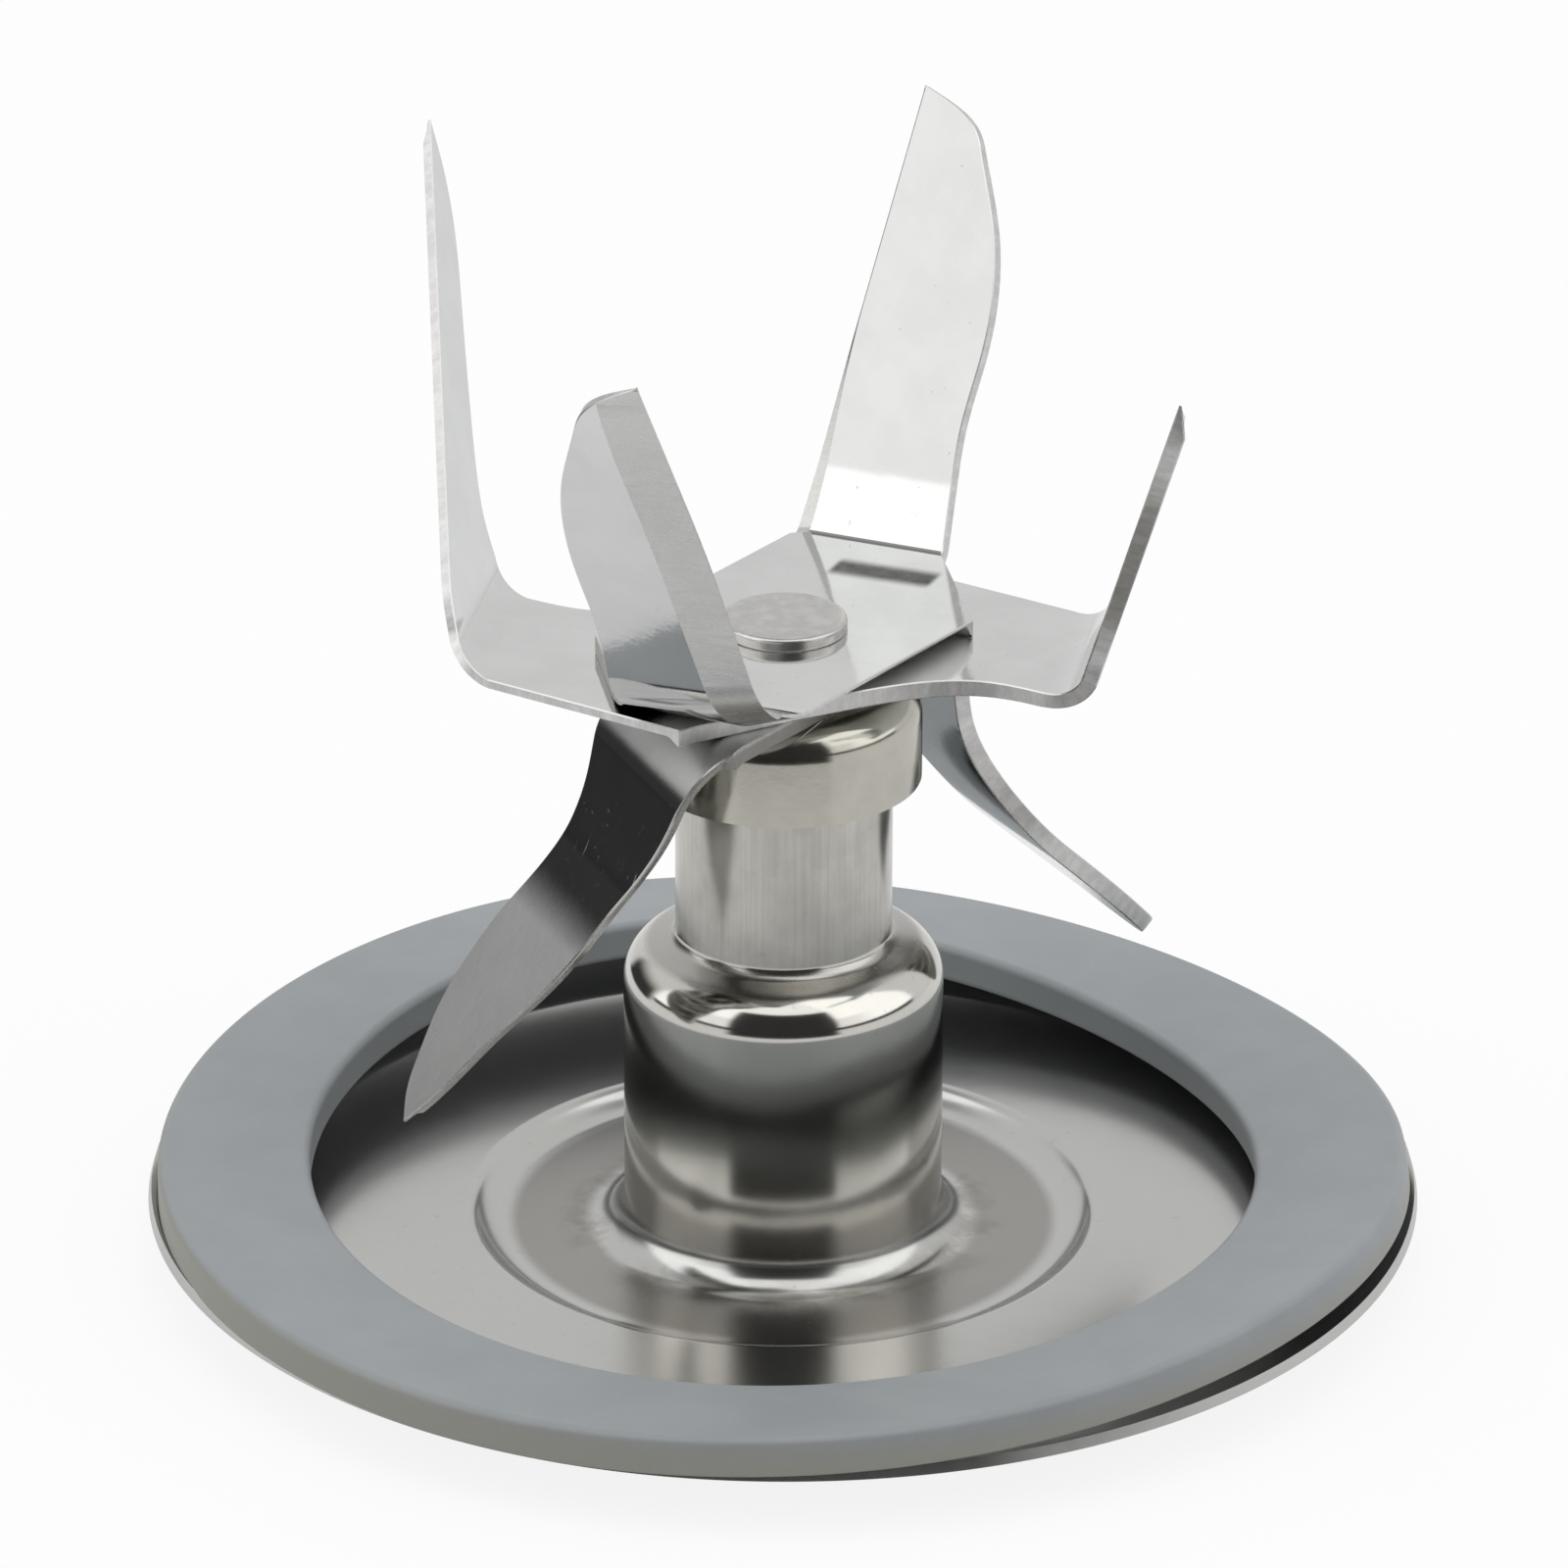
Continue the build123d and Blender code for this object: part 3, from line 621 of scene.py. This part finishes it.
# %% Outlines
def flowing(knots):
    """A natural cubic spline through the knots, as a function of the distance along the blank."""
    x, y = np.asarray(knots, float).T
    gap = np.diff(x)
    system = np.eye(len(x))
    pull = np.zeros(len(x))
    inner = np.arange(1, len(x) - 1)
    system[inner, inner - 1] = gap[:-1]
    system[inner, inner] = 2 * (gap[:-1] + gap[1:])
    system[inner, inner + 1] = gap[1:]
    pull[inner] = 6 * np.diff(np.diff(y) / gap)
    curve = np.linalg.solve(system, pull)

    def at(distance):
        k = np.clip(np.searchsorted(x, distance) - 1, 0, len(gap) - 1)
        left, right = distance - x[k], x[k + 1] - distance
        cubic = (curve[k] * right**3 + curve[k + 1] * left**3) / (6 * gap[k])
        from_left = (y[k] / gap[k] - curve[k] * gap[k] / 6) * right
        from_right = (y[k + 1] / gap[k] - curve[k + 1] * gap[k] / 6) * left
        return cubic + from_left + from_right

    return at


def straight(knots):
    """Straight runs through the knots."""
    x, y = np.asarray(knots, float).T
    return lambda distance: np.interp(distance, x, y)


def joined(*runs):
    """One outline from several: each run is its last distance and its curve."""
    def at(distance):
        value = runs[-1][1](distance)
        for end, curve in runs[-2::-1]:
            value = np.where(distance <= end, curve(distance), value)
        return value

    return at


def past(corner, knots):
    """Knots whose distances are counted from a corner of the blank."""
    return [(corner + distance, side) for distance, side in knots]


print("outlines ready")

# %% [markdown]
# ## The section of a blade
# Cut across, a blade is a thin strip with small broken edges. Towards the cutting edge its underside is
# ground away to a bevel, which leaves a narrow land. On part of an arm the upper edge is rubbed off too.

# %% Section of a blade
SHEET = 0.9
EDGE_BREAK, BREAK_SHARE = 0.06, 0.2
RUB_DEPTH, RUB_DROP, RUB_RUN_IN = 0.7, 0.25, 0.5
GRIND_RUN_IN, BEVEL_LIMIT, LAND_STEP = 0.6, 0.97, 0.03
TIP_SHEET = 0.12
ARM_RUN_IN = (7, 12)
FACE_SHARES = np.array([0.0, 0.02, 0.15, 0.35, 0.5, 0.65, 0.85, 0.98, 1.0])


def eased(value, start, end):
    """Goes smoothly from zero at start to one at end."""
    share = np.clip((value - start) / (end - start), 0, 1)
    return share * share * (3 - 2 * share)


def rubbed(distance, rub):
    """One where the rubbed stretch starts, fading to zero at its end; zero everywhere without a stretch."""
    if rub is None:
        return np.zeros_like(distance)
    return eased(distance, rub[0], rub[0] + RUB_RUN_IN) * (1 - eased(distance, *rub))


def edge_of(side, width, thick, ground, bevel, land, rub):
    """Where one edge of the section turns: the depths of its two slopes across the sheet, and the heights
    at which they meet the edge, below the sheet's upper face."""
    broken = np.minimum(EDGE_BREAK, BREAK_SHARE * width)
    level_break = np.minimum(broken, BREAK_SHARE * thick)
    upper_depth, upper_level = broken + rub * RUB_DEPTH, level_break + rub * RUB_DROP
    lower_depth = np.minimum(broken + ground * (bevel - broken), BEVEL_LIMIT * width)
    plain_level = thick - level_break
    land_level = np.minimum(np.maximum(land, upper_level + LAND_STEP), plain_level)
    lower_level = plain_level + ground * (land_level - plain_level)
    return [column[:, None] for column in (side, upper_depth, -upper_level, lower_depth, -lower_level)]


def section(distance, arm_start, lead, trail, grind, bevel, land, thin, rub, arm_sheet):
    """Corners of the section at each distance along the blank: v across it and w along the sheet's normal.
    The leading edge is ground from the distance grind to the tip. Past arm_start the sheet thins out where
    it is narrower than thin: its thickness falls to that of the tip as the width falls to zero."""
    far = np.abs(distance)
    front = np.where(distance >= 0, lead(far), -trail(far))
    rear = np.where(distance >= 0, trail(far), -lead(far))
    width = front - rear
    thick = np.interp(far, ARM_RUN_IN, [SHEET, arm_sheet])
    thick = thick - (thick - TIP_SHEET) * (1 - np.clip(width / thin, 0, 1)) * (far > arm_start)
    front_edge, rear_edge = (
        edge_of(side, width, thick, eased(way, grind, grind + GRIND_RUN_IN), bevel, land, rubbed(way, rub))
        for side, way in ((front, distance), (rear, -distance))
    )
    front, front_in, front_top, front_cut, front_land = front_edge
    rear, rear_in, rear_top, rear_cut, rear_land = rear_edge
    upper_v = rear + rear_in + (front - front_in - rear - rear_in) * FACE_SHARES
    lower_v = front - front_cut - (front - front_cut - rear - rear_cut) * FACE_SHARES
    flat = np.zeros_like(upper_v)
    v = np.concatenate([upper_v, front, front, lower_v, rear, rear], 1)
    w = np.concatenate([flat, front_top, front_land, flat - thick[:, None], rear_land, rear_top], 1)
    return v, w


print("section of", 2 * len(FACE_SHARES) + 4, "corners ready")

# %% [markdown]
# ## Carrying the section along a blade
# In the photograph the two arms of a blade aren't bent quite alike. So each arm has bends and a tip of its
# own, and the second arm's bend lines may be turned in the blank.

# %% A bent blade
TIP_ZONE = 1.2
ARM_STEPS, TIP_STEPS = 220, 40
ROLLED, SHEARED, GROUND = range(3)


def blade(
    name, node, azimuth, top, bends, tip, second, lead, trail, marks, grind, bevel,
    land=0.15, thin=1.6, rub=None, arm_sheet=SHEET,
):
    """Carries the section of a sheet along the bent path: a point is along * reach + across * v + up *
    height, moved by w along the sheet's normal. The second arm has its own bends, tip and skew: its bend
    lines are turned by the skew in the blank, and bending happens along the turned axis."""
    tip_run = tip - TIP_ZONE * np.linspace(1, 0, TIP_STEPS) ** 2
    half = np.unique(np.concatenate([np.linspace(0, tip - TIP_ZONE, ARM_STEPS), tip_run, marks]))
    distance = np.concatenate([-half[:0:-1], half])
    far = np.abs(distance)
    v, w = section(distance, bends[0][0], lead, trail, grind, bevel, land, thin, rub, arm_sheet)
    second_bends, second_tip, second_skew = second
    second_far = np.interp(far, [0, bends[0][0], tip], [0, second_bends[0][0], second_tip])
    is_second = (distance < 0)[:, None]
    skew = np.where(is_second, second_skew, 0.0)
    flat_reach = np.where(is_second, second_far[:, None], far[:, None])
    ahead = flat_reach * np.cos(skew) - v * np.sin(skew)
    aside = flat_reach * np.sin(skew) + v * np.cos(skew)
    reach, height, slope = np.where(is_second, bent(ahead, second_bends), bent(ahead, bends))
    level, reach = top + height + w * np.cos(slope), reach - w * np.sin(slope)
    out = np.where(is_second, -1.0, 1.0) * (reach * np.cos(skew) + aside * np.sin(skew))
    over = aside * np.cos(skew) - reach * np.sin(skew)
    turn = math.radians(azimuth)
    x, y = out * np.cos(turn) - over * np.sin(turn), out * np.sin(turn) + over * np.cos(turn)
    points = np.stack([x, y, level], -1)
    side_finish = [ROLLED] * (len(FACE_SHARES) - 1) + [GROUND, SHEARED, GROUND]
    blank = np.stack([np.broadcast_to(distance[:, None], v.shape), v + w], -1)
    finishes = [rolled_steel, sheared_steel, ground_steel]
    grid_piece(name, points, "rotor", node, finishes, np.array(side_finish * 2), blank)


print("blades of about", 2 * (ARM_STEPS + TIP_STEPS), "sections each")

# %% [markdown]
# ## The upper blade
# A winged plate with two arms that stand up by about 66 degrees. The front arm rises from a wide bend and
# the back arm from a tight one. The leading edge is straight and ground to a bevel on the outer face; the
# trailing edge swings in an S from the root to the point.

# %% Upper blade
UPPER_AZIMUTH = 247.0
UPPER_CORNER = 11.1
UPPER_BEND, UPPER_ROOT, UPPER_TIP = UPPER_CORNER + 0.7, UPPER_CORNER + 0.5, UPPER_CORNER + 22.8
UPPER_HALF_WIDTH, UPPER_ROOT_SIDE = 6.99, -3.45
WING_PLACE, WING_SIDE = 4.5, -8.0
FRONT_BENDS = [bend(UPPER_BEND, 67.8, 5.0), bend(UPPER_CORNER + 12.7, 64.5, 100.0)]
BACK_BENDS = [bend(UPPER_BEND, 62.0, 0.45), bend(UPPER_CORNER + 4.2, 66.3, 12.0)]
UPPER_SECOND = (BACK_BENDS, UPPER_TIP + 0.5, 0.0)

upper_lead = straight([(0, UPPER_HALF_WIDTH), (UPPER_CORNER, 4.5), (UPPER_TIP, 1.5)])
upper_wing = straight([(0, -UPPER_HALF_WIDTH), (WING_PLACE, WING_SIDE), (UPPER_ROOT, UPPER_ROOT_SIDE)])
upper_swing = flowing(past(UPPER_CORNER, [
    (0.5, UPPER_ROOT_SIDE), (3.8, -3.25), (6.8, -3.25), (10.3, -3.7), (13.0, -3.8), (16.6, -3.2),
    (19.9, -2.0), (22.0, -0.3), (22.8, 1.47),
]))
upper_trail = joined((UPPER_ROOT, upper_wing), (UPPER_TIP, upper_swing))
blade(
    "blade_upper", "upper_blade", UPPER_AZIMUTH, STACK_TOP, FRONT_BENDS, UPPER_TIP, UPPER_SECOND,
    upper_lead, upper_trail, [WING_PLACE, UPPER_CORNER], grind=-WING_PLACE, bevel=2.2, thin=4.4,
    rub=(UPPER_CORNER, UPPER_CORNER + 12.0),
)

# %% [markdown]
# ## The middle blade
# Its plate is S shaped, broad at two noses and narrow at two waists. The arms stand up by 73 degrees from a
# rounded bend and sweep back, so from the photograph's side they are seen almost on edge.

# %% Middle blade
MIDDLE_AZIMUTH, MIDDLE_TOP = 170.4, STACK_TOP - SHEET
MIDDLE_CORNER, MIDDLE_SLOPE = 14.8, 73.0
MIDDLE_ROOT, MIDDLE_NECK = MIDDLE_CORNER + 1.48, MIDDLE_CORNER + 4.7
MIDDLE_TIP = MIDDLE_CORNER + 20.3
NOSE_PLACE, NOSE_SIDE = 3.2, 11.0
WAIST_PLACE, WAIST_SIDE = 13.3, 3.6
ROOT_LEAD, ROOT_TRAIL, NECK_LEAD = 4.3, -5.2, 1.5
MIDDLE_SECOND = ([bend(MIDDLE_CORNER - 0.05, MIDDLE_SLOPE, 2.4)], MIDDLE_TIP + 1.3, 0.0)

flank = flowing([(-WAIST_PLACE, WAIST_SIDE), (-10.1, 2.7), (-3.9, 5.3), (NOSE_PLACE, NOSE_SIDE)])
middle_lead = joined(
    (NOSE_PLACE, flank),
    (MIDDLE_ROOT, straight([(NOSE_PLACE, NOSE_SIDE), (WAIST_PLACE, 6.6), (MIDDLE_ROOT, ROOT_LEAD)])),
    (MIDDLE_NECK, flowing(past(MIDDLE_CORNER, [(1.48, ROOT_LEAD), (3.2, 3.2), (4.7, NECK_LEAD)]))),
    (MIDDLE_TIP, straight([(MIDDLE_NECK, NECK_LEAD), (MIDDLE_TIP, -17.3)])),
)
middle_sweep = flowing(past(MIDDLE_CORNER, [
    (1.48, ROOT_TRAIL), (3.4, -5.4), (5.5, -6.6), (7.9, -8.7), (11.3, -12.0), (14.8, -15.3), (17.9, -16.9),
    (20.3, -17.33),
]))
middle_trail = joined(
    (WAIST_PLACE, lambda distance: -flank(-distance)),
    (MIDDLE_ROOT, straight([(WAIST_PLACE, -WAIST_SIDE), (MIDDLE_ROOT, ROOT_TRAIL)])),
    (MIDDLE_TIP, middle_sweep),
)
blade(
    "blade_middle", "middle_blade", MIDDLE_AZIMUTH, MIDDLE_TOP, [bend(MIDDLE_CORNER, MIDDLE_SLOPE, 2.0)],
    MIDDLE_TIP, MIDDLE_SECOND, middle_lead, middle_trail, [NOSE_PLACE, WAIST_PLACE], grind=NOSE_PLACE,
    bevel=2.2, land=0.45, arm_sheet=0.78,
)

# %% [markdown]
# ## The lower blade
# Two arms drop past the cap at 70 degrees and ease out at a knee to about 46 degrees, ending in a knife
# point. The second arm is steeper, and its bend lines are turned by 8 degrees. The outline was read looking
# along an arm, so each height is first turned into a distance along the blank.

# %% Lower blade
LOWER_AZIMUTH, LOWER_TOP = 203.5, MIDDLE_TOP - SHEET
LOWER_CORNER, LOWER_ROOT = 8.6, 6.67
LOWER_DROP, LOWER_EASE, KNEE_DEPTH = 70.0, 45.7, 8.85
LOWER_HALF_WIDTH, LEAD_ROOT_SIDE, TRAIL_ROOT_SIDE = 5.1, 9.0, -1.2
TIP_HEIGHT = 11.8
DROP_RISE, EASE_RISE = math.sin(math.radians(LOWER_DROP)), math.sin(math.radians(LOWER_EASE))


def fallen(height):
    """Distance along the blank at which the arm has fallen to this height: the depth over the sine of the
    slope, first down to the knee and then past it."""
    depth = LOWER_TOP - height
    return LOWER_CORNER + min(depth, KNEE_DEPTH) / DROP_RISE + max(depth - KNEE_DEPTH, 0.0) / EASE_RISE


def arm_edge(half_width, root_side, knots):
    """An edge that runs straight to the arm's root and then flows through knots of side and height."""
    arm = flowing([(LOWER_ROOT, root_side)] + [(fallen(height), side) for side, height in knots])
    return joined((LOWER_ROOT, straight([(0, half_width), (LOWER_ROOT, root_side)])), (LOWER_TIP, arm))


LOWER_TIP = fallen(TIP_HEIGHT)
LOWER_BENDS = [
    bend(LOWER_CORNER, -LOWER_DROP, 4.2), bend(LOWER_CORNER + KNEE_DEPTH / DROP_RISE, -LOWER_EASE, 12.0)
]
LOWER_SECOND = ([bend(8.4, -76.6, 2.4), bend(16.8, -43.4, 15.0)], LOWER_TIP - 0.28, math.radians(8.1))
lower_lead = arm_edge(LOWER_HALF_WIDTH, LEAD_ROOT_SIDE, [
    (9.25, 29.5), (9.1, 28.0), (8.5, 25.8), (7.6, 24.1), (6.5, 22.0), (6.15, 20.2), (6.0, 18.7),
    (5.1, 15.9), (4.4, 13.0), (3.83, TIP_HEIGHT),
])
lower_trail = arm_edge(-LOWER_HALF_WIDTH, TRAIL_ROOT_SIDE, [
    (-1.2, 28.6), (-0.5, 26.3), (-0.5, 24.3), (-1.1, 22.1), (-1.7, 19.8), (-1.4, 17.5), (-0.6, 15.6),
    (1.1, 13.6), (2.4, 12.5), (3.8, TIP_HEIGHT),
])
blade(
    "blade_lower", "lower_blade", LOWER_AZIMUTH, LOWER_TOP, LOWER_BENDS, LOWER_TIP, LOWER_SECOND,
    lower_lead, lower_trail, [LOWER_ROOT], grind=LOWER_ROOT, bevel=0.8,
)

# %% [markdown]
# ## Hidden pieces
# Bushings, seal, washers and the drive socket keep the frame's own shapes, and get plain finishes of their
# kind.

# %% Hidden pieces
BRONZE_TONES = (0.42, 0.27, 0.13, 1), (0.58, 0.41, 0.22, 1)
NYLON_TONES = (0.72, 0.71, 0.67, 1), (0.80, 0.79, 0.75, 1)

bronze = mottled_metal("bearing_bronze", 6.0, (0.4, 0.65), BRONZE_TONES, (0.34, 0.2), detail=3.0)
nylon = Finish("washer_nylon", Roughness=0.5)
nylon.paint("Base Color", nylon.blend(nylon.noise(nylon.place, 2.0, 3.0, 0.5), *NYLON_TONES))
inner_finish = {
    "upper_bushing": bronze, "lower_bushing": bronze, "shaft_seal": silicone, "upper_thrust_washer": nylon,
    "lower_thrust_washer": nylon, "drive_socket": turned_steel,
}
for node, finish in inner_finish.items():
    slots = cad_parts[node].data.materials
    slots.clear()
    slots.append(finish.owner)
print("finished", ", ".join(inner_finish))

# %% [markdown]
# ## The studio
# Polished steel has little colour of its own: it shows the room. The reflections in the photograph suggest
# a light tent that is open towards the camera, so the room is bright at both sides, pale behind, greyer high
# at the back, and dark in the opening and in the left rear corner. The world is that tent, as a formula of
# the direction. The camera itself sees plain white behind the object.

# %% World
DARK_CORNER = (-2.50, -1.86, 0.06)
SIDE_SPAN, BACK_START = (0.68, 1.80, 0.04), (1.76, 1.84)
SIDE_GLOW, SIDE_EXTRA, FRONT_GLOW, BACK_GLOW, ROOM_GLOW = 1.18, 0.38, 1.3, 0.80, 0.04
BACK_SHADE = 0.55

world = bpy.data.worlds.new("light_tent")
bpy.context.scene.world = world
tent = Tree(world)
tent.nodes.clear()
look_x, look_y, look_z = tent.split(tent.coordinates("Generated"))
bearing = look_x.arctan2(0 - look_y)
from_front = bearing.absolute()
wide, high = from_front.rise(0.90, 1.25), look_z.rise(0.44, 0.49)
side_level = SIDE_GLOW + (wide + high - wide * high) * SIDE_EXTRA
sides = from_front.band(*SIDE_SPAN) * look_z.rise(0.08, 0.12) * side_level
over_front = (1 - from_front.rise(0.64, 0.72)) * look_z.rise(0.75, 0.79) * FRONT_GLOW
back_wall = from_front.rise(*BACK_START) * (1 - look_z.rise(0.80, 0.86) * BACK_SHADE) * BACK_GLOW
back_wall = back_wall * (1 - bearing.band(*DARK_CORNER) * (1 - look_z.rise(0.14, 0.52)))
glow = ROOM_GLOW + sides + over_front + back_wall
seen = tent.ray("Is Camera Ray")
strength = seen + (1 - seen) * glow
background = tent.node("ShaderNodeBackground", {}, {"Color": (1, 1, 1, 1), "Strength": strength})
tent.links.new(background.socket, tent.nodes.new("ShaderNodeOutputWorld").inputs["Surface"])
print("tent:", len(tent.nodes), "nodes")

# %% [markdown]
# ## The floor and the lamp
# The floor is white paper that keeps a faint shadow. In reflections it ends where the tent does: towards
# the camera and in the left rear corner it is dark. It lies a hair below the plate, so that the two never
# flicker. One large soft lamp above the object adds to the tent.

# %% Floor
FLOOR_HALF, FLOOR_LEVEL = 3, -5e-5
OPENING, OPENING_START, CORNER_START = (0.60, 0.72), (0.066, 0.085), (0.12, 0.16)
BARE_TONE, PAPER_TONE = (0.03, 0.03, 0.03, 1), (0.76, 0.76, 0.77, 1)
SHADOW_SHARE, GLOSS_SHARE = 0.13, 0.10

floor_mesh = bpy.data.meshes.new("studio_floor")
floor_corners = [
    (FLOOR_HALF * x, FLOOR_HALF * y, FLOOR_LEVEL) for x, y in ((-1, -1), (1, -1), (1, 1), (-1, 1))
]
floor_mesh.from_pydata(floor_corners, [], [(0, 1, 2, 3)])
floor = bpy.data.objects.new("studio_floor", floor_mesh)
bpy.context.scene.collection.objects.link(floor)
paper = Tree(bpy.data.materials.new("floor_paper"))
paper.nodes.clear()
floor_mesh.materials.append(paper.owner)
spot_x, spot_y, _ = paper.split(paper.coordinates("Object"))
spot_far = spot_x.hypot(spot_y)
spot_bearing = spot_x.arctan2(0 - spot_y)
in_front = (1 - spot_bearing.absolute().rise(*OPENING)) * spot_far.rise(*OPENING_START)
sheet = (1 - spot_bearing.band(*DARK_CORNER) * spot_far.rise(*CORNER_START)) * (1 - in_front)
matte = paper.node("ShaderNodeBsdfDiffuse", {}, {"Color": paper.blend(sheet, BARE_TONE, PAPER_TONE)})
white = paper.node("ShaderNodeEmission", {}, {"Color": (1, 1, 1, 1), "Strength": 1.0})
whiteness = paper.ray("Is Camera Ray") * (1 - sheet * SHADOW_SHARE)
whiteness = whiteness + paper.ray("Is Glossy Ray") * sheet * GLOSS_SHARE
mixed = paper.node("ShaderNodeMixShader", {}, {0: whiteness, 1: matte, 2: white})
paper.links.new(mixed.socket, paper.nodes.new("ShaderNodeOutputMaterial").inputs["Surface"])
print("floor:", len(paper.nodes), "nodes")

# %% Lamp
LAMP_PLACE, LAMP_AIM = Vector((0.0, 0.05, 0.75)), Vector((0.0, 0.0, 0.02))
LAMP_SIZE, LAMP_POWER = 0.45, 1.2

lamp = bpy.data.lights.new("overhead_lamp", "AREA")
lamp.shape = "SQUARE"
lamp.size = LAMP_SIZE
lamp.energy = LAMP_POWER
holder = bpy.data.objects.new("overhead_lamp", lamp)
bpy.context.scene.collection.objects.link(holder)
holder.location = LAMP_PLACE
holder.rotation_euler = (LAMP_PLACE - LAMP_AIM).to_track_quat("Z", "Y").to_euler()
holder.visible_glossy = False
print("lamp of", LAMP_POWER, "W")
